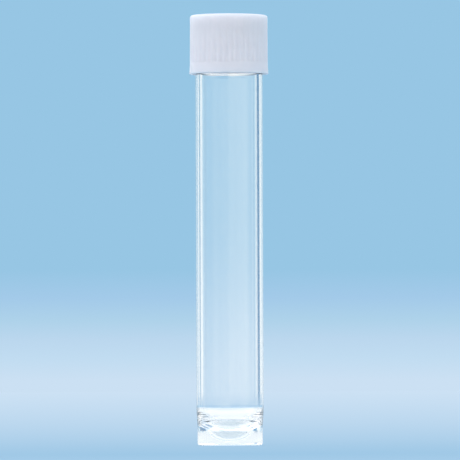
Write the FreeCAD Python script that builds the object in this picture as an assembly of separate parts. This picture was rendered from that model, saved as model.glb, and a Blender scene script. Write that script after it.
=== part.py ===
import FreeCAD, Part
import math
import os

# Screw-cap test tube: a clear round-bottomed tube that stands on its own skirt, a ribbed screw cap
# and the sealing disc between them. Millimetres. The foot of the skirt is on z = 0 and the axis of
# every piece is the Z axis.

# Driving dimensions
TUBE_RADIUS = 8.0         # outside of the straight body
TUBE_HEIGHT = 100.0       # foot of the skirt to the rim
BODY_WALL = 1.3
BOTTOM_WALL = 2.1         # on the axis, between the two round bottoms
BOTTOM_LIFT = 0.8         # lowest point of the round bottom above the ground
SKIRT_WALL = 1.8
SKIRT_INSET = 0.3         # how far the skirt is drawn in from the body
SKIRT_RISE = 1.0          # start of the skirt's inward curve above the centre of the round bottom
FOOT_FLARE = 0.03         # how far the foot comes back out again
FOOT_ROUND = 0.6
NECK_STEP = 0.55          # neck surface below the body surface
CAP_OVERLAP = 12.0        # bottom edge of the cap below the rim
CAP_WALL = 1.1
CAP_TOP_PLATE = 1.1
CAP_TOP_ROUND = 0.6
CAP_DRAFT = 0.05          # the ribbed wall is this much smaller in radius at the top
COLLAR_HEIGHT = 2.6       # plain band below the ribs
COLLAR_FLARE = 0.12
RIB_COUNT = 42
GROOVE_DEPTH = 0.16       # at the collar
GROOVE_TOP_DEPTH = 0.03   # where the grooves run out through the rounded top edge
GROOVE_RADIUS = 0.9
DISC_THICKNESS = 0.9
THREAD_PITCH = 3.0
THREAD_BASE = 0.433       # width of the thread at its root, as a share of the pitch
THREAD_CREST = 0.2        # width of the thread at its crest, as a share of the pitch
BEAD_HEIGHT = 0.4         # bead in the cap that keeps the disc from falling out
BEAD_HALF_WIDTH = 0.3

# Clearances
CAP_CLEARANCE = 0.15      # radial, cap to tube, at both thread crests as well
DISC_CLEARANCE = 0.15     # radial, disc to cap
FLANK_CLEARANCE = 0.15    # between the two thread flanks that pull the cap down
THREAD_TOP_GAP = 0.75     # top of the tube's thread to the bead
THREAD_FOOT_GAP = 2.2     # shoulder to the foot of the tube's thread

# Derived heights and radii
RIM_Z = TUBE_HEIGHT
DISC_TOP_Z = RIM_Z + DISC_THICKNESS
CAP_TOP_Z = DISC_TOP_Z + CAP_TOP_PLATE
CAP_BOTTOM_Z = RIM_Z - CAP_OVERLAP
BORE_RADIUS = TUBE_RADIUS - BODY_WALL
DOME_CENTRE_Z = BOTTOM_LIFT + TUBE_RADIUS
BOWL_CENTRE_Z = BOTTOM_LIFT + BOTTOM_WALL + BORE_RADIUS
SKIRT_TOP_Z = DOME_CENTRE_Z + SKIRT_RISE
SKIRT_RADIUS = TUBE_RADIUS - SKIRT_INSET
SKIRT_BORE = SKIRT_RADIUS - SKIRT_WALL
NECK_RADIUS = TUBE_RADIUS - NECK_STEP
SHOULDER_Z = CAP_BOTTOM_Z
NECK_START_Z = SHOULDER_Z + NECK_STEP
CAP_BORE = TUBE_RADIUS + CAP_CLEARANCE
CAP_RADIUS = CAP_BORE + CAP_WALL
COLLAR_TOP_Z = CAP_BOTTOM_Z + COLLAR_HEIGHT
DISC_RADIUS = CAP_BORE - DISC_CLEARANCE
CAP_THREAD_CREST = NECK_RADIUS + CAP_CLEARANCE
BEAD_Z = RIM_Z - BEAD_HALF_WIDTH - 0.05
HALF_BASE = THREAD_BASE * THREAD_PITCH / 2
HALF_CREST = THREAD_CREST * THREAD_PITCH / 2

Z_AXIS = FreeCAD.Vector(0, 0, 1)
ORIGIN = FreeCAD.Vector(0, 0, 0)


def point(radius, height):
    """A point of a turned profile."""
    return FreeCAD.Vector(radius, 0, height)


def line(start, end):
    return Part.makeLine(point(*start), point(*end))


def arc(start, middle, end):
    return Part.Arc(point(*start), point(*middle), point(*end)).toShape()


def corner(centre, radius, start_degrees, end_degrees):
    """Quarter-round or shorter arc of a profile, given by its centre and two directions."""
    spots = []
    for degrees in (start_degrees, (start_degrees + end_degrees) / 2, end_degrees):
        angle = math.radians(degrees)
        spots.append((centre[0] + radius * math.cos(angle), centre[1] + radius * math.sin(angle)))
    return arc(*spots)


def turned(edges):
    """Solid made by turning a closed profile about the Z axis."""
    wire = Part.Wire(Part.__sortEdges__(edges))
    return Part.Face(wire).revolve(ORIGIN, Z_AXIS, 360)


def skirt_side(top, waist, foot):
    """Smooth side of the skirt: down from the body, in to the waist and out to the foot."""
    curve = Part.BSplineCurve()
    curve.interpolate([point(*top), point(*waist), point(*foot)],
                      InitialTangent=FreeCAD.Vector(0, 0, -1),
                      FinalTangent=FreeCAD.Vector(0.01, 0, -1))
    return curve.toShape()


def thread(root_radius, crest_radius, start_z, turns, start_turn):
    """One right-hand trapezoid thread, its ends running down to a quarter of the full height."""
    overlap = 0.1 if crest_radius > root_radius else -0.1
    slope = (HALF_BASE - HALF_CREST) / abs(crest_radius - root_radius)
    half_root = HALF_BASE + 0.1 * slope
    steps = round(turns * 36)
    run_out = 30 / 360 / turns
    rows = {"low_root": [], "low_crest": [], "high_crest": [], "high_root": []}
    for step in range(steps + 1):
        share = step / steps
        turn = start_turn + share * turns
        angle = 2 * math.pi * turn
        height = start_z + share * turns * THREAD_PITCH
        ease = min(1, share / run_out, (1 - share) / run_out)
        fullness = 0.25 + 0.75 * ease
        crest = root_radius + fullness * (crest_radius - root_radius)
        half_top = HALF_BASE - fullness * (HALF_BASE - HALF_CREST)
        for name, radius, offset in (("low_root", root_radius - overlap, -half_root),
                                     ("low_crest", crest, -half_top),
                                     ("high_crest", crest, half_top),
                                     ("high_root", root_radius - overlap, half_root)):
            rows[name].append(FreeCAD.Vector(radius * math.cos(angle),
                                             radius * math.sin(angle),
                                             height + offset))
    edges = []
    for points in rows.values():
        curve = Part.BSplineCurve()
        curve.interpolate(points)
        edges.append(curve.toShape())
    faces = []
    for index in range(4):
        faces.append(Part.makeRuledSurface(edges[index], edges[(index + 1) % 4]))
    for end in (0, -1):
        loop = [points[end] for points in rows.values()]
        faces.append(Part.makeFilledFace(Part.makePolygon(loop + loop[:1]).Edges))
    shell = Part.makeShell(faces)
    shell.sewShape()
    solid = Part.makeSolid(shell)
    if solid.Volume < 0:
        solid.reverse()
    return solid


def make_tube():
    """Clear body, round bottom, standing skirt and threaded neck in one moulding."""
    crease_z = DOME_CENTRE_Z - math.sqrt(TUBE_RADIUS ** 2 - SKIRT_BORE ** 2)
    foot_radius = SKIRT_RADIUS + FOOT_FLARE
    inner_round = 0.3
    lip_round = 0.2
    bowl_z = BOWL_CENTRE_Z - BORE_RADIUS
    dome_middle = SKIRT_BORE / 2
    dome_middle_z = DOME_CENTRE_Z - math.sqrt(TUBE_RADIUS ** 2 - dome_middle ** 2)
    edges = [
        arc((0, BOTTOM_LIFT), (dome_middle, dome_middle_z), (SKIRT_BORE, crease_z)),
        line((SKIRT_BORE, crease_z), (SKIRT_BORE, inner_round)),
        corner((SKIRT_BORE + inner_round, inner_round), inner_round, 180, 270),
        line((SKIRT_BORE + inner_round, 0), (foot_radius - FOOT_ROUND, 0)),
        corner((foot_radius - FOOT_ROUND, FOOT_ROUND), FOOT_ROUND, -90, 0),
        skirt_side((TUBE_RADIUS, SKIRT_TOP_Z), (SKIRT_RADIUS, crease_z - 0.4),
                   (foot_radius, FOOT_ROUND)),
        line((TUBE_RADIUS, SKIRT_TOP_Z), (TUBE_RADIUS, SHOULDER_Z)),
        line((TUBE_RADIUS, SHOULDER_Z), (NECK_RADIUS, NECK_START_Z)),
        line((NECK_RADIUS, NECK_START_Z), (NECK_RADIUS, RIM_Z - lip_round)),
        corner((NECK_RADIUS - lip_round, RIM_Z - lip_round), lip_round, 0, 90),
        line((NECK_RADIUS - lip_round, RIM_Z), (BORE_RADIUS + lip_round, RIM_Z)),
        corner((BORE_RADIUS + lip_round, RIM_Z - lip_round), lip_round, 90, 180),
        line((BORE_RADIUS, RIM_Z - lip_round), (BORE_RADIUS, BOWL_CENTRE_Z)),
        corner((0, BOWL_CENTRE_Z), BORE_RADIUS, 0, -90),
        line((0, bowl_z), (0, BOTTOM_LIFT)),
    ]
    body = turned(edges)
    screw = thread(NECK_RADIUS, TUBE_RADIUS, THREAD_LOW_Z, THREAD_TURNS, 0)
    return body.fuse(screw)


def make_cap():
    """Cap with its top plate, ribbed wall, plain collar, inside thread and bead."""
    top_radius = CAP_RADIUS - CAP_DRAFT
    foot_radius = CAP_RADIUS + COLLAR_FLARE
    edge_round = 0.25
    lead_in = 0.3
    inner_round = 0.2
    side_start = (foot_radius, CAP_BOTTOM_Z + edge_round)
    collar_top = (CAP_RADIUS, COLLAR_TOP_Z)
    collar_middle = (CAP_RADIUS + 0.3 * COLLAR_FLARE, CAP_BOTTOM_Z + 0.5 * COLLAR_HEIGHT)
    shell_edges = [
        line((0, CAP_TOP_Z), (top_radius - CAP_TOP_ROUND, CAP_TOP_Z)),
        corner((top_radius - CAP_TOP_ROUND, CAP_TOP_Z - CAP_TOP_ROUND), CAP_TOP_ROUND, 90, 0),
        line((top_radius, CAP_TOP_Z - CAP_TOP_ROUND), collar_top),
        arc(collar_top, collar_middle, side_start),
        corner((foot_radius - edge_round, CAP_BOTTOM_Z + edge_round), edge_round, 0, -90),
        line((foot_radius - edge_round, CAP_BOTTOM_Z), (CAP_BORE + lead_in, CAP_BOTTOM_Z)),
        line((CAP_BORE + lead_in, CAP_BOTTOM_Z), (CAP_BORE, CAP_BOTTOM_Z + lead_in)),
        line((CAP_BORE, CAP_BOTTOM_Z + lead_in), (CAP_BORE, BEAD_Z - BEAD_HALF_WIDTH)),
        arc((CAP_BORE, BEAD_Z - BEAD_HALF_WIDTH), (CAP_BORE - BEAD_HEIGHT, BEAD_Z),
            (CAP_BORE, BEAD_Z + BEAD_HALF_WIDTH)),
        line((CAP_BORE, BEAD_Z + BEAD_HALF_WIDTH), (CAP_BORE, DISC_TOP_Z - inner_round)),
        corner((CAP_BORE - inner_round, DISC_TOP_Z - inner_round), inner_round, 0, 90),
        line((CAP_BORE - inner_round, DISC_TOP_Z), (0, DISC_TOP_Z)),
        line((0, DISC_TOP_Z), (0, CAP_TOP_Z)),
    ]
    shell = turned(shell_edges)
    screw = thread(CAP_BORE, CAP_THREAD_CREST, CAP_THREAD_LOW_Z, CAP_THREAD_TURNS,
                   CAP_THREAD_START)
    return shell.fuse(screw).cut(make_grooves())


def make_grooves():
    """Tools for the grooves between the ribs: rods that lean out as they rise."""
    length = CAP_TOP_Z - COLLAR_TOP_Z
    foot = FreeCAD.Vector(CAP_RADIUS - GROOVE_DEPTH + GROOVE_RADIUS, 0, COLLAR_TOP_Z)
    head_radius = CAP_RADIUS - CAP_DRAFT - GROOVE_TOP_DEPTH + GROOVE_RADIUS
    lean = math.degrees(math.atan2(head_radius - foot.x, length))
    rods = []
    for index in range(RIB_COUNT):
        rod = Part.makeCylinder(GROOVE_RADIUS, length + 1, foot, Z_AXIS)
        rod.rotate(foot, FreeCAD.Vector(0, 1, 0), lean)
        rod.rotate(ORIGIN, Z_AXIS, index * 360 / RIB_COUNT)
        rods.append(rod)
    return Part.makeCompound(rods)


def make_disc():
    """Sealing disc with softly rounded edges."""
    edge = 0.12
    edges = [
        line((0, RIM_Z), (DISC_RADIUS - edge, RIM_Z)),
        corner((DISC_RADIUS - edge, RIM_Z + edge), edge, -90, 0),
        line((DISC_RADIUS, RIM_Z + edge), (DISC_RADIUS, DISC_TOP_Z - edge)),
        corner((DISC_RADIUS - edge, DISC_TOP_Z - edge), edge, 0, 90),
        line((DISC_RADIUS - edge, DISC_TOP_Z), (0, DISC_TOP_Z)),
        line((0, DISC_TOP_Z), (0, RIM_Z)),
    ]
    return turned(edges)


# The tube's thread fills the neck between the shoulder and the bead. The cap's thread follows the
# same helix lower down, so that the cap turns and lifts without the two touching.
THREAD_LOW_Z = NECK_START_Z + THREAD_FOOT_GAP + HALF_BASE
THREAD_HIGH_Z = BEAD_Z - BEAD_HALF_WIDTH - THREAD_TOP_GAP - HALF_BASE
THREAD_TURNS = (THREAD_HIGH_Z - THREAD_LOW_Z) / THREAD_PITCH
FLANK_SLOPE = (HALF_BASE - HALF_CREST) / NECK_STEP
THREAD_DROP = HALF_BASE + HALF_CREST - FLANK_SLOPE * CAP_CLEARANCE + FLANK_CLEARANCE
CAP_THREAD_START = 0.25
CAP_THREAD_LOW_Z = THREAD_LOW_Z - THREAD_DROP + CAP_THREAD_START * THREAD_PITCH
CAP_THREAD_TURNS = THREAD_TURNS - CAP_THREAD_START

os.makedirs("parts", exist_ok=True)
for node, shape in (("tube", make_tube()), ("cap", make_cap()), ("sealing_disc", make_disc())):
    shape.exportStep("parts/" + node + ".step")
    box = shape.BoundBox
    print(node, len(shape.Solids), "solid", "valid" if shape.isValid() else "NOT VALID",
          round(shape.Volume, 1), "mm3", round(box.ZMin, 3), round(box.ZMax, 3))
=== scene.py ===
import bpy
import math
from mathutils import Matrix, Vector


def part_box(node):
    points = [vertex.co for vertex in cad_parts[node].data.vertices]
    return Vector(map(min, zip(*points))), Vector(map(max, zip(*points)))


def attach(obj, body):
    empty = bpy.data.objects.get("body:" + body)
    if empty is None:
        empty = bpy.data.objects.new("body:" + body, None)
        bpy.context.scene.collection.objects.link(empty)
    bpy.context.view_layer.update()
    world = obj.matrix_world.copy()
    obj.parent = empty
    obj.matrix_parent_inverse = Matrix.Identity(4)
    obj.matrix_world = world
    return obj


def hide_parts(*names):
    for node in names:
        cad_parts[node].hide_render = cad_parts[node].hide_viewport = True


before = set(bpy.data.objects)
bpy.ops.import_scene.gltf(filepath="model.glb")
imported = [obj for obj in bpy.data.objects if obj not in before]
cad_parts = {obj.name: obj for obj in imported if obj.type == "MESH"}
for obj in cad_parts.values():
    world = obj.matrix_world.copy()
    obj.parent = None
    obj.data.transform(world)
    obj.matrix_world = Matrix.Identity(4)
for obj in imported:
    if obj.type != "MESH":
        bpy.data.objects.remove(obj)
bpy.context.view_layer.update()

# Sizes in millimetres, as the solids have them. The outer radius and the levels come from the packed
# model, and the rest is worked out from them and from the sizes named here
MM = 0.001
TAU = 2 * math.pi


def height(node, end):
    """Lowest (end 0) or highest (end 1) level of a node, in millimetres."""
    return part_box(node)[end][2] / MM


TUBE_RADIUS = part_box("tube")[1][0] / MM
BODY_WALL = 1.3
BOTTOM_WALL = 2.1
BOTTOM_LIFT = 0.8
SKIRT_WALL = 1.8
SKIRT_INSET = 0.3
SKIRT_RISE = 1.0
WAIST_DROP = 0.4
FOOT_FLARE = 0.03
FOOT_ROUND = 0.6
FOOT_INNER_ROUND = 0.3
NECK_STEP = 0.55
LIP_ROUND = 0.2
CAP_WALL = 1.1
CAP_TOP_ROUND = 0.6
CAP_FOOT_ROUND = 0.25
CAP_LEAD_IN = 0.3
CAP_INNER_ROUND = 0.2
CAP_DRAFT = 0.05
COLLAR_HEIGHT = 2.6
COLLAR_FLARE = 0.12
RIB_COUNT = 42
GROOVE_DEPTH = 0.16
GROOVE_TOP_DEPTH = 0.03
GROOVE_RADIUS = 0.9
BEAD_HEIGHT = 0.4
BEAD_HALF_WIDTH = 0.3
BEAD_RIM_GAP = 0.05
PITCH = 3.0
HALF_BASE = 0.65
HALF_CREST = 0.3
THREAD_FOOT_GAP = 2.2
THREAD_TOP_GAP = 0.75
CLEARANCE = 0.15
# How far the cap's thread runs below the tube's
THREAD_DROP = 1.004
# In turns: how far along the tube's thread the cap's thread starts
CAP_THREAD_START = 0.25
# A thread's ends grow to full height over one turn divided by this
THREAD_GROWTH = 12
# Mesh: segments round a piece, innermost ring of a flat face, first ring above the collar, the angle
# in degrees from which an edge is sharp, and the distances below which two levels or radii are one
TUBE_SEGMENTS = 192
SEGMENTS_PER_GROOVE = 12
FLAT_INNER_RING = 1.0
RIB_FOOT_GAP = 0.01
SHARP_ANGLE = 40
SAME_POINT = 1e-6
ON_AXIS = 1e-9

RIM_Z = height("tube", 1)
DISC_TOP_Z = height("sealing_disc", 1)
CAP_BOTTOM_Z = height("cap", 0)
CAP_TOP_Z = height("cap", 1)
BORE_RADIUS = TUBE_RADIUS - BODY_WALL
DOME_CENTRE_Z = BOTTOM_LIFT + TUBE_RADIUS
BOWL_CENTRE_Z = BOTTOM_LIFT + BOTTOM_WALL + BORE_RADIUS
SKIRT_RADIUS = TUBE_RADIUS - SKIRT_INSET
SKIRT_BORE = SKIRT_RADIUS - SKIRT_WALL
SKIRT_TOP_Z = DOME_CENTRE_Z + SKIRT_RISE
CREASE_Z = DOME_CENTRE_Z - math.sqrt(TUBE_RADIUS ** 2 - SKIRT_BORE ** 2)
FOOT_RADIUS = SKIRT_RADIUS + FOOT_FLARE
NECK_RADIUS = TUBE_RADIUS - NECK_STEP
NECK_START_Z = CAP_BOTTOM_Z + NECK_STEP
CAP_BORE = TUBE_RADIUS + CLEARANCE
CAP_RADIUS = CAP_BORE + CAP_WALL
CAP_TOP_RADIUS = CAP_RADIUS - CAP_DRAFT
COLLAR_TOP_Z = CAP_BOTTOM_Z + COLLAR_HEIGHT
CAP_THREAD_CREST = NECK_RADIUS + CLEARANCE
BEAD_Z = RIM_Z - BEAD_HALF_WIDTH - BEAD_RIM_GAP
THREAD_LOW_Z = NECK_START_Z + THREAD_FOOT_GAP + HALF_BASE
THREAD_TURNS = (BEAD_Z - BEAD_HALF_WIDTH - THREAD_TOP_GAP - HALF_BASE - THREAD_LOW_Z) / PITCH
CAP_THREAD_LOW_Z = THREAD_LOW_Z - THREAD_DROP + CAP_THREAD_START * PITCH
CAP_THREAD_TURNS = THREAD_TURNS - CAP_THREAD_START


def smooth(share):
    """Ease from 0 to 1, level at both ends."""
    share = max(0.0, min(1.0, share))
    return share * share * (3 - 2 * share)


def thread_share(angle, z, low_z, start_turn, turns):
    """How much of the full thread height stands at this spot of the neck or the cap's bore."""
    turn = angle / TAU
    along = start_turn + (z - low_z) / PITCH
    done = turn + round(along - turn) - start_turn
    if done < 0 or done > turns:
        return 0.0
    offset = abs(z - low_z - done * PITCH)
    flank = smooth((HALF_BASE - offset) / (HALF_BASE - HALF_CREST))
    return flank * smooth(min(done, turns - done) * THREAD_GROWTH)


def new_object(name, verts, faces):
    """Mesh object, linked to the scene."""
    mesh = bpy.data.meshes.new(name)
    mesh.from_pydata(verts, [], faces)
    thing = bpy.data.objects.new(name, mesh)
    bpy.context.scene.collection.objects.link(thing)
    return thing


def lathe(name, rows, segments):
    """Closed mesh from rings. A row is (radius, height) or (function of angle and height, height)."""
    verts = []
    rings = []
    for radius, z in rows:
        if radius == 0:
            rings.append([len(verts)])
            verts.append((0.0, 0.0, z * MM))
            continue
        ring = []
        for step in range(segments):
            angle = TAU * step / segments
            r = radius(angle, z) if callable(radius) else radius
            ring.append(len(verts))
            verts.append((r * math.cos(angle) * MM, r * math.sin(angle) * MM, z * MM))
        rings.append(ring)
    faces = []
    for low, high in zip(rings, rings[1:]):
        for step in range(segments):
            after = (step + 1) % segments
            if len(low) == 1:
                faces.append((low[0], high[after], high[step]))
            elif len(high) == 1:
                faces.append((low[step], low[after], high[0]))
            else:
                faces.append((low[step], low[after], high[after], high[step]))
    piece = new_object(name, verts, faces)
    piece.data.validate()
    for polygon in piece.data.polygons:
        polygon.use_smooth = True
    piece.data.set_sharp_from_angle(angle=math.radians(SHARP_ANGLE))
    return piece


def levels(low, high, count):
    """Even levels from low to high, both included."""
    return [low + (high - low) * step / count for step in range(count + 1)]


def arc_rows(centre_r, centre_z, radius, start, end, count):
    """Rows along an arc, between two angles in degrees."""
    rows = []
    for step in range(count + 1):
        angle = math.radians(start + (end - start) * step / count)
        r = centre_r + radius * math.cos(angle)
        rows.append((0 if abs(r) < ON_AXIS else r, centre_z + radius * math.sin(angle)))
    return rows


def straight_rows(start, end, count):
    """Rows along a line between two (radius, height) points."""
    rows = []
    for step in range(count + 1):
        share = step / count
        rows.append((start[0] + share * (end[0] - start[0]), start[1] + share * (end[1] - start[1])))
    return rows


def join(*parts):
    """One list of rows, without the doubled row where two parts meet."""
    rows = []
    for part in parts:
        for row in part:
            if rows and not callable(row[0]) and not callable(rows[-1][0]):
                if abs(row[0] - rows[-1][0]) < SAME_POINT and abs(row[1] - rows[-1][1]) < SAME_POINT:
                    continue
            rows.append(row)
    return rows


# ---- the clear tube ----
def skirt_radius(z):
    """Outer radius from the foot, over the waist of the skirt, to the straight body."""
    waist_z = CREASE_Z - WAIST_DROP
    if z >= waist_z:
        return SKIRT_RADIUS + (TUBE_RADIUS - SKIRT_RADIUS) * smooth((z - waist_z) / (SKIRT_TOP_Z - waist_z))
    return SKIRT_RADIUS + FOOT_FLARE * smooth((waist_z - z) / (waist_z - FOOT_ROUND))


def neck_surface(angle, z):
    """Radius of the neck with its outer thread."""
    share = thread_share(angle, z, THREAD_LOW_Z, 0.0, THREAD_TURNS)
    return NECK_RADIUS + (TUBE_RADIUS - NECK_RADIUS) * share


def make_tube():
    crease_angle = -math.degrees(math.acos(SKIRT_BORE / TUBE_RADIUS))
    skirt = [(skirt_radius(z), z) for z in levels(FOOT_ROUND, SKIRT_TOP_Z, 40)]
    neck_top_z = RIM_Z - LIP_ROUND
    neck = [(neck_surface, z) for z in levels(NECK_START_Z, neck_top_z, 113)[1:-1]]
    rows = join(
        arc_rows(0, DOME_CENTRE_Z, TUBE_RADIUS, -90, crease_angle, 28),
        straight_rows((SKIRT_BORE, CREASE_Z), (SKIRT_BORE, FOOT_INNER_ROUND), 6),
        arc_rows(SKIRT_BORE + FOOT_INNER_ROUND, FOOT_INNER_ROUND, FOOT_INNER_ROUND, 180, 270, 8),
        straight_rows((SKIRT_BORE + FOOT_INNER_ROUND, 0), (FOOT_RADIUS - FOOT_ROUND, 0), 2),
        arc_rows(FOOT_RADIUS - FOOT_ROUND, FOOT_ROUND, FOOT_ROUND, -90, 0, 12),
        skirt,
        straight_rows((TUBE_RADIUS, SKIRT_TOP_Z), (TUBE_RADIUS, CAP_BOTTOM_Z), 24),
        straight_rows((TUBE_RADIUS, CAP_BOTTOM_Z), (NECK_RADIUS, NECK_START_Z), 4),
        neck,
        arc_rows(NECK_RADIUS - LIP_ROUND, neck_top_z, LIP_ROUND, 0, 90, 6),
        arc_rows(BORE_RADIUS + LIP_ROUND, neck_top_z, LIP_ROUND, 90, 180, 6),
        straight_rows((BORE_RADIUS, neck_top_z), (BORE_RADIUS, BOWL_CENTRE_Z), 28),
        arc_rows(0, BOWL_CENTRE_Z, BORE_RADIUS, 0, -90, 40),
    )
    return lathe("tube_moulding", rows, TUBE_SEGMENTS)


# ---- the ribbed cap ----
def cap_side(z):
    """Radius of the cap's side and rounded top edge, without the grooves."""
    round_z = CAP_TOP_Z - CAP_TOP_ROUND
    share = (z - COLLAR_TOP_Z) / (round_z - COLLAR_TOP_Z)
    if share <= 1:
        return CAP_RADIUS + (CAP_TOP_RADIUS - CAP_RADIUS) * share
    rise = min(1.0, (z - round_z) / CAP_TOP_ROUND)
    return CAP_TOP_RADIUS - CAP_TOP_ROUND * (1 - math.sqrt(1 - rise * rise))


def ribbed_surface(angle, z):
    """Side of the cap with its grooves, which grow shallower as they rise."""
    share = (z - COLLAR_TOP_Z) / (CAP_TOP_Z - COLLAR_TOP_Z)
    plain = CAP_RADIUS + (CAP_TOP_RADIUS - CAP_RADIUS) * share
    depth = GROOVE_DEPTH + (GROOVE_TOP_DEPTH - GROOVE_DEPTH) * share
    spacing = TAU / RIB_COUNT
    aside = abs((angle + spacing / 2) % spacing - spacing / 2) * plain
    if aside >= GROOVE_RADIUS:
        return cap_side(z)
    floor = plain - depth + GROOVE_RADIUS - math.sqrt(GROOVE_RADIUS ** 2 - aside ** 2)
    return min(cap_side(z), floor)


def cap_bore_surface(angle, z):
    """Radius of the cap's bore with its inner thread."""
    share = thread_share(angle, z, CAP_THREAD_LOW_Z, CAP_THREAD_START, CAP_THREAD_TURNS)
    return CAP_BORE - (CAP_BORE - CAP_THREAD_CREST) * share


def make_cap():
    foot_radius = CAP_RADIUS + COLLAR_FLARE
    bore_low_z = CAP_BOTTOM_Z + CAP_LEAD_IN
    bore_high_z = BEAD_Z - BEAD_HALF_WIDTH
    bore = [(cap_bore_surface, z) for z in levels(bore_low_z, bore_high_z, 80)]
    bead = []
    for share in levels(0, 1, 16)[1:-1]:
        bead.append((CAP_BORE - BEAD_HEIGHT * math.sin(math.pi * share),
                     BEAD_Z - BEAD_HALF_WIDTH + 2 * BEAD_HALF_WIDTH * share))
    collar_low_z = CAP_BOTTOM_Z + CAP_FOOT_ROUND
    collar = []
    for share in levels(0, 1, 12):
        collar.append((CAP_RADIUS + COLLAR_FLARE * (1 - share) ** 2,
                       collar_low_z + (COLLAR_TOP_Z - collar_low_z) * share))
    rib_low_z = COLLAR_TOP_Z + RIB_FOOT_GAP
    round_z = CAP_TOP_Z - CAP_TOP_ROUND
    ribs = [(ribbed_surface, z) for z in levels(rib_low_z, round_z, 40)]
    for step in range(1, 12):
        ribs.append((ribbed_surface, round_z + CAP_TOP_ROUND * math.sin(math.pi / 2 * step / 12)))
    rows = join(
        [(0, DISC_TOP_Z)],
        straight_rows((FLAT_INNER_RING, DISC_TOP_Z), (CAP_BORE - CAP_INNER_ROUND, DISC_TOP_Z), 6),
        arc_rows(CAP_BORE - CAP_INNER_ROUND, DISC_TOP_Z - CAP_INNER_ROUND, CAP_INNER_ROUND, 90, 0, 5),
        bead[::-1],
        bore[::-1],
        [(CAP_BORE + CAP_LEAD_IN, CAP_BOTTOM_Z)],
        arc_rows(foot_radius - CAP_FOOT_ROUND, collar_low_z, CAP_FOOT_ROUND, -90, 0, 8),
        collar,
        ribs,
        straight_rows((CAP_TOP_RADIUS - CAP_TOP_ROUND, CAP_TOP_Z), (FLAT_INNER_RING, CAP_TOP_Z), 8),
        [(0, CAP_TOP_Z)],
    )
    return lathe("cap_moulding", rows, RIB_COUNT * SEGMENTS_PER_GROOVE)


# ---- materials ----
def new_material(name):
    material = bpy.data.materials.new(name)
    material.use_nodes = True
    nodes = material.node_tree.nodes
    return material, nodes, material.node_tree.links, nodes["Principled BSDF"]


def add_noise(nodes, links, scale, detail, stretch=(1, 1, 1)):
    """Noise fixed to the object."""
    coords = nodes.new("ShaderNodeTexCoord")
    mapping = nodes.new("ShaderNodeMapping")
    noise = nodes.new("ShaderNodeTexNoise")
    mapping.inputs["Scale"].default_value = stretch
    noise.inputs["Scale"].default_value = scale
    noise.inputs["Detail"].default_value = detail
    links.new(coords.outputs["Object"], mapping.inputs["Vector"])
    links.new(mapping.outputs["Vector"], noise.inputs["Vector"])
    return noise.outputs["Fac"]


def add_range(nodes, links, source, low, high):
    node = nodes.new("ShaderNodeMapRange")
    node.inputs["To Min"].default_value = low
    node.inputs["To Max"].default_value = high
    links.new(source, node.inputs["Value"])
    return node.outputs["Result"]


def add_tone(nodes, links, shader, source, first, second):
    """Base colour between two tones."""
    mix = nodes.new("ShaderNodeMix")
    mix.data_type = "RGBA"
    mix.inputs["A"].default_value = first
    mix.inputs["B"].default_value = second
    links.new(source, mix.inputs["Factor"])
    links.new(mix.outputs["Result"], shader.inputs["Base Color"])


def add_bump(nodes, links, shader, source, strength, distance):
    bump = nodes.new("ShaderNodeBump")
    bump.inputs["Strength"].default_value = strength
    bump.inputs["Distance"].default_value = distance
    links.new(source, bump.inputs["Height"])
    links.new(bump.outputs["Normal"], shader.inputs["Normal"])


def clear_plastic():
    """Clear plastic with a fine haze drawn along the tube."""
    material, nodes, links, shader = new_material("clear_polystyrene")
    shader.inputs["Base Color"].default_value = (0.995, 0.998, 1.0, 1)
    shader.inputs["Transmission Weight"].default_value = 1.0
    shader.inputs["IOR"].default_value = 1.59
    haze = add_noise(nodes, links, 260, 3, (1, 1, 0.15))
    links.new(add_range(nodes, links, haze, 0.04, 0.1), shader.inputs["Roughness"])
    return material


def cap_plastic():
    """Soft white plastic that lets some light through, with a moulded grain."""
    material, nodes, links, shader = new_material("cap_polyethylene")
    tone = add_noise(nodes, links, 420, 4)
    add_tone(nodes, links, shader, tone, (0.95, 0.745, 0.775, 1), (0.99, 0.785, 0.815, 1))
    shader.inputs["Subsurface Weight"].default_value = 1.0
    shader.inputs["Subsurface Radius"].default_value = (1.0, 1.0, 1.0)
    shader.inputs["Subsurface Scale"].default_value = 0.004
    shader.inputs["Specular IOR Level"].default_value = 0.25
    links.new(add_range(nodes, links, tone, 0.32, 0.46), shader.inputs["Roughness"])
    add_bump(nodes, links, shader, add_noise(nodes, links, 5200, 2), 0.12, 0.00003)
    return material


def disc_plastic():
    """Off-white foam with fine cells."""
    material, nodes, links, shader = new_material("disc_foam")
    cells = add_noise(nodes, links, 3800, 3)
    add_tone(nodes, links, shader, cells, (0.80, 0.80, 0.78, 1), (0.90, 0.90, 0.88, 1))
    shader.inputs["Roughness"].default_value = 0.7
    add_bump(nodes, links, shader, cells, 0.3, 0.00004)
    return material


tube = make_tube()
tube.data.materials.append(clear_plastic())
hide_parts("tube")
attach(tube, "tube")

cap = make_cap()
cap.data.materials.append(cap_plastic())
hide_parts("cap")
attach(cap, "cap")

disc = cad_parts["sealing_disc"]
for index in range(len(disc.data.materials)):
    disc.data.materials[index] = disc_plastic()


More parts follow.
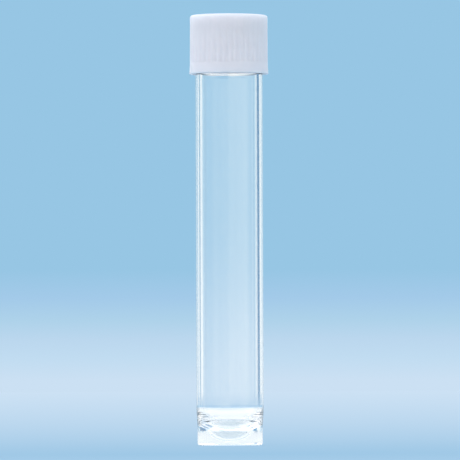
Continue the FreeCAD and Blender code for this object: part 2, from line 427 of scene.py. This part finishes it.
# ---- floor, backdrop, lights and camera ----
# Colours from 0 to 255 are as they look on the screen. Other colours and lights are linear.
# Lengths are in metres and angles in degrees
BACKDROP_SCALE = 20
BACKDROP = ((0.0, (203, 224, 243)), (0.03, (203, 224, 243)), (0.1, (193, 220, 241)),
            (0.16, (187, 215, 238)), (0.22, (174, 210, 234)), (0.29, (163, 202, 233)),
            (0.38, (151, 198, 228)))
FLOOR_RINGS = (0.02, 0.1, 0.4, 2.0, 8.0, 40.0)
FLOOR_LEVEL = -0.00002
FLOOR_DEEPEST_SPOT = (0, -0.2, 0)
FLOOR_DEEPEST = (150, 195, 227)
FLOOR_PALEST = (203, 224, 243)
FLOOR_FADE = 0.85
FLOOR_LIGHT = 0.93
# Upright clear tent round the tube, seen only by way of the object. Each soft panel rises, holds and
# falls with the heading round the tube from straight behind it: start, full from, full to, end, light
TENT_RADIUS = 1.2
TENT_HEIGHT = 0.4
PANELS = ((-70, -60, -50, -46, 0.7), (-39, -34, -28, -22, 0.7), (-22, -18, -13, -8, 0.13),
          (4, 7, 14, 17, 0.14), (17, 28, 32, 41, 0.9), (100, 150, 176, 185, 1.6),
          (210, 235, 252, 264, 0.8))
PANEL_TINT = (1.0, 0.75, 0.45)
# Dark flags in the tent: the same four headings, and the colour that they let through
FLAGS = ((-49, -47, -39, -37, (0.5, 0.65, 0.75, 1)), (40, 42, 62, 64, (0.25, 0.4, 0.55, 1)))
# Ring of light above the backdrop, by the upward part of a direction of length 1. It keeps the last
# share up to the top, and is brighter on the left
RING = ((0.12, 0.0), (0.18, 1.0), (0.35, 1.0), (0.5, 0.3))
RING_TINT = (1.0, 0.84, 0.75, 1)
RING_LIGHT = 1.52
RING_LEAN = 0.45
# Glowing card under the foot: its colours by distance from the middle. The middle is dimmer, a painted
# shade that stands for the tube's own shadow under its foot, and the edge comes close to the floor's colour
CARD_LEVEL = -0.00001
CARD_INNER_RING = 0.01
CARD_RADIUS = 0.065
CARD_SHADES = ((0.0055, (0.57, 0.69, 0.78, 1)), (0.0075, (0.87, 0.91, 0.95, 1)),
               (0.026, (0.87, 0.91, 0.95, 1)), (0.042, (0.64, 0.77, 0.88, 1)),
               (0.065, (0.38, 0.58, 0.77, 1)))
CARD_RIM_RADIUS = 0.032
CARD_RIM_HEIGHT = 0.0042
CARD_RIM_FADE_FROM = 0.6
CARD_RIM_SHADE = (0.88, 0.95, 1.0, 1)
CAMERA_DISTANCE = 1.5
CAMERA_HEIGHT = 0.0132
CAMERA_PITCH = 1.445
CAMERA_ROLL = 0.2
CAMERA_LENS = 495
BLACK = (0, 0, 0, 1)
WHITE = (1, 1, 1, 1)


def linear(rgb):
    """Screen colour, each part above 10 and up to 255, as the linear colour that a shader takes."""
    return tuple(((level / 255 + 0.055) / 1.055) ** 2.4 for level in rgb) + (1,)


def add_math(nodes, links, operation, first, second):
    """Maths node between two outputs or numbers."""
    node = nodes.new("ShaderNodeMath")
    node.operation = operation
    for socket, value in zip(node.inputs, (first, second)):
        if isinstance(value, (int, float)):
            socket.default_value = value
        else:
            links.new(value, socket)
    return node.outputs["Value"]


def add_ramp(nodes, links, source, stops):
    """Colour ramp with a stop for each (position, colour)."""
    ramp = nodes.new("ShaderNodeValToRGB")
    elements = ramp.color_ramp.elements
    while len(elements) < len(stops):
        elements.new(0.5)
    for element, (position, colour) in zip(elements, stops):
        element.position = position
        element.color = colour
    links.new(source, ramp.inputs["Fac"])
    return ramp.outputs["Color"]


def add_place(nodes, links, output="Object"):
    """X, Y and Z of a point or direction."""
    coords = nodes.new("ShaderNodeTexCoord")
    parts = nodes.new("ShaderNodeSeparateXYZ")
    links.new(coords.outputs[output], parts.inputs[0])
    return parts.outputs


def add_distance(nodes, links, spot):
    """Distance from a spot, in the object's own coordinates."""
    coords = nodes.new("ShaderNodeTexCoord")
    offset = nodes.new("ShaderNodeVectorMath")
    offset.operation = "DISTANCE"
    offset.inputs[1].default_value = spot
    links.new(coords.outputs["Object"], offset.inputs[0])
    return offset.outputs["Value"]


def show_sum(nodes, links, first, second, output):
    """Two shaders added together, sent to the output node."""
    both = nodes.new("ShaderNodeAddShader")
    links.new(first, both.inputs[0])
    links.new(second, both.inputs[1])
    links.new(both.outputs["Shader"], nodes[output].inputs["Surface"])


def new_cloth(name):
    """Material without its usual shader, for a stage wall."""
    material, nodes, links, shader = new_material(name)
    nodes.remove(shader)
    return material, nodes, links


def make_disc(name, radii, z):
    """Flat round stage piece made of rings."""
    count = 96
    verts = [(0, 0, 0)]
    faces = []
    for radius in radii:
        for step in range(count):
            angle = TAU * step / count
            verts.append((radius * math.cos(angle), radius * math.sin(angle), 0))
    for step in range(count):
        after = (step + 1) % count
        faces.append((0, 1 + step, 1 + after))
        for ring in range(len(radii) - 1):
            low = 1 + ring * count
            high = low + count
            faces.append((low + step, high + step, high + after, low + after))
    piece = new_object(name, verts, faces)
    piece.location.z = z
    return piece


def make_ring_wall(name, radius, height):
    """Upright round stage wall on the floor."""
    count = 144
    verts = []
    faces = []
    for step in range(count):
        angle = TAU * step / count
        x, y = radius * math.cos(angle), radius * math.sin(angle)
        verts += [(x, y, 0), (x, y, height)]
        low, after = 2 * step, 2 * ((step + 1) % count)
        faces.append((low, after, after + 1, low + 1))
    wall = new_object(name, verts, faces)
    return wall


def hide_from_view(thing):
    """Keep a stage piece out of the camera's direct view and of shadows."""
    thing.visible_camera = False
    thing.visible_shadow = False


def make_floor():
    """Pale glowing floor, deepest in colour just in front of the tube and palest far away."""
    floor = make_disc("floor", FLOOR_RINGS, FLOOR_LEVEL)
    material, nodes, links, shader = new_material("floor_paint")
    distance = add_distance(nodes, links, FLOOR_DEEPEST_SPOT)
    share = add_math(nodes, links, "DIVIDE", distance, add_math(nodes, links, "ADD", distance, FLOOR_FADE))
    colour = add_ramp(nodes, links, share, ((0, linear(FLOOR_DEEPEST)), (1, linear(FLOOR_PALEST))))
    shader.inputs["Base Color"].default_value = (0.06, 0.06, 0.06, 1)
    shader.inputs["Roughness"].default_value = 0.9
    shader.inputs["Specular IOR Level"].default_value = 0.0
    links.new(colour, shader.inputs["Emission Color"])
    shader.inputs["Emission Strength"].default_value = FLOOR_LIGHT
    floor.data.materials.append(material)


def make_card():
    """Glowing white card under the foot, seen only by way of the object, its dimmer middle a painted shade
    of the tube's own shadow. It lights nothing dull.
    """
    card = make_disc("card", (CARD_INNER_RING, CARD_RADIUS), CARD_LEVEL)
    hide_from_view(card)
    card.visible_diffuse = False
    material, nodes, links, shader = new_material("card_paint")
    shader.inputs["Base Color"].default_value = (0.1, 0.1, 0.1, 1)
    share = add_math(nodes, links, "DIVIDE", add_distance(nodes, links, (0, 0, 0)), CARD_RADIUS)
    # Colours by distance from the middle; the dim middle is painted shade of the tube's shadow under its
    # foot
    colour = add_ramp(nodes, links, share, [(away / CARD_RADIUS, shade) for away, shade in CARD_SHADES])
    links.new(colour, shader.inputs["Emission Color"])
    shader.inputs["Emission Strength"].default_value = 1.0
    card.data.materials.append(material)


def make_card_rim():
    """Low glowing wall that stands on the card and fades out towards its top."""
    rim = make_ring_wall("card_rim", CARD_RIM_RADIUS, CARD_RIM_HEIGHT)
    hide_from_view(rim)
    rim.visible_diffuse = False
    material, nodes, links = new_cloth("rim_paint")
    share = add_math(nodes, links, "DIVIDE", add_place(nodes, links)["Z"], CARD_RIM_HEIGHT)
    fade = add_ramp(nodes, links, share, ((CARD_RIM_FADE_FROM, BLACK), (1, WHITE)))
    emission = nodes.new("ShaderNodeEmission")
    emission.inputs["Color"].default_value = CARD_RIM_SHADE
    mix = nodes.new("ShaderNodeMixShader")
    links.new(fade, mix.inputs[0])
    links.new(emission.outputs["Emission"], mix.inputs[1])
    links.new(nodes.new("ShaderNodeBsdfTransparent").outputs["BSDF"], mix.inputs[2])
    links.new(mix.outputs["Shader"], nodes["Material Output"].inputs["Surface"])
    rim.data.materials.append(material)


def heading_ramp(nodes, links, spans, outside):
    """Colour by heading round the tube: outside's colour, and each span's own colour within it.

    The ramp starts and ends at a heading of -90 degrees, on the left, where no span lies.
    """
    place = add_place(nodes, links)
    front = add_math(nodes, links, "MULTIPLY", place["Y"], -1)
    heading = add_math(nodes, links, "ARCTAN2", front, place["X"])
    turn = add_math(nodes, links, "ADD", add_math(nodes, links, "DIVIDE", heading, TAU), 0.5)
    stops = []
    for start, full_from, full_to, end, colour in spans:
        for degrees, shade in ((start, outside), (full_from, colour), (full_to, colour), (end, outside)):
            stops.append(((degrees + 90) / 360, shade))
    return add_ramp(nodes, links, turn, stops)


def make_tent():
    """Upright clear screen round the tube, with soft glowing panels and two dark flags."""
    tent = make_ring_wall("tent", TENT_RADIUS, TENT_HEIGHT)
    hide_from_view(tent)
    material, nodes, links = new_cloth("tent_cloth")
    brightest = max(panel[4] for panel in PANELS)
    panels = []
    for start, full_from, full_to, end, level in PANELS:
        colour = tuple(level / brightest * part for part in PANEL_TINT) + (1,)
        panels.append((start, full_from, full_to, end, colour))
    glow = heading_ramp(nodes, links, panels, BLACK)
    clear = heading_ramp(nodes, links, FLAGS, WHITE)
    emission = nodes.new("ShaderNodeEmission")
    emission.inputs["Strength"].default_value = brightest
    links.new(glow, emission.inputs["Color"])
    window = nodes.new("ShaderNodeBsdfTransparent")
    links.new(clear, window.inputs["Color"])
    show_sum(nodes, links, emission.outputs["Emission"], window.outputs["BSDF"], "Material Output")
    tent.data.materials.append(material)


def make_world():
    """Backdrop that pales towards the horizon, with a ring of soft light above it."""
    world = bpy.data.worlds.new("studio")
    bpy.context.scene.world = world
    world.use_nodes = True
    nodes = world.node_tree.nodes
    links = world.node_tree.links
    place = add_place(nodes, links, "Generated")
    rise = place["Z"]
    scaled = add_math(nodes, links, "MULTIPLY", rise, BACKDROP_SCALE)
    colour = add_ramp(nodes, links, scaled, [(position, linear(shade)) for position, shade in BACKDROP])
    backdrop = nodes["Background"]
    backdrop.inputs["Strength"].default_value = 1.0
    links.new(colour, backdrop.inputs["Color"])
    ring = add_ramp(nodes, links, rise, [(position, (share, share, share, 1)) for position, share in RING])
    lean = add_math(nodes, links, "MULTIPLY", place["X"], -RING_LEAN)
    level = add_math(nodes, links, "MULTIPLY", add_math(nodes, links, "ADD", lean, 1), RING_LIGHT)
    light = nodes.new("ShaderNodeBackground")
    light.inputs["Color"].default_value = RING_TINT
    links.new(add_math(nodes, links, "MULTIPLY", ring, level), light.inputs["Strength"])
    show_sum(nodes, links, backdrop.outputs["Background"], light.outputs["Background"], "World Output")


def make_camera():
    data = bpy.data.cameras.new("camera")
    data.lens = CAMERA_LENS
    data.sensor_width = 36
    data.clip_start = 0.01
    data.clip_end = 200
    camera = bpy.data.objects.new("camera", data)
    camera.location = (0, -CAMERA_DISTANCE, CAMERA_HEIGHT)
    camera.rotation_euler = (math.radians(90 + CAMERA_PITCH), math.radians(CAMERA_ROLL), 0)
    bpy.context.scene.collection.objects.link(camera)
    bpy.context.scene.camera = camera


make_floor()
make_card()
make_card_rim()
make_tent()
make_world()
make_camera()
bpy.context.scene.view_settings.view_transform = "Standard"
# Light crosses the clear wall many times before it leaves
bpy.context.scene.cycles.max_bounces = 40
bpy.context.scene.cycles.transmission_bounces = 40
bpy.context.scene.cycles.glossy_bounces = 16
